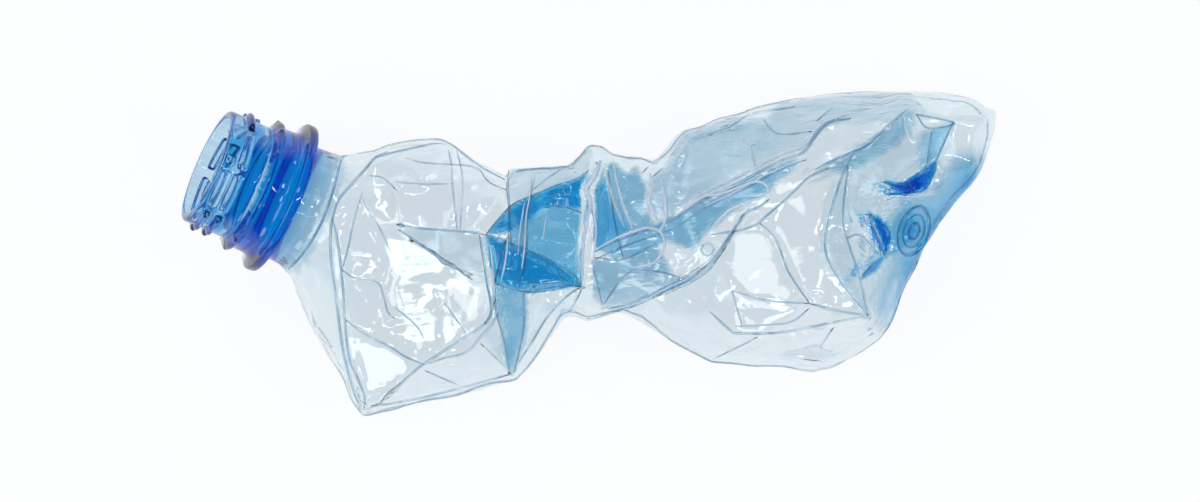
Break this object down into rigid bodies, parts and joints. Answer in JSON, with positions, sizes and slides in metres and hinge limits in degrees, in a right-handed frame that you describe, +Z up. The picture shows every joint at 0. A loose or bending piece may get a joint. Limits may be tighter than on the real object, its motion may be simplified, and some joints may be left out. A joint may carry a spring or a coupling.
{
  "type": "crushed plastic bottle",
  "caption": "Empty, crushed clear blue plastic drinks bottle lying on its side, with an open screw neck and a folded, twisted thin wall.",
  "frame": {"origin": "centre of the bottle's outline seen from above, on the surface that it lies on", "axes": "+X along the bottle from its mouth to its base, +Y across it, +Z up from the surface it lies on"},
  "size_m": [0.1706, 0.0686, 0.046],
  "materials": {
    "clear_blue_plastic": "gloss, clear, light blue in the thin wall and deep blue in the thick neck"
  },
  "bodies": {
    "root": {"bottle": "clear_blue_plastic"}
  },
  "joints": []
}
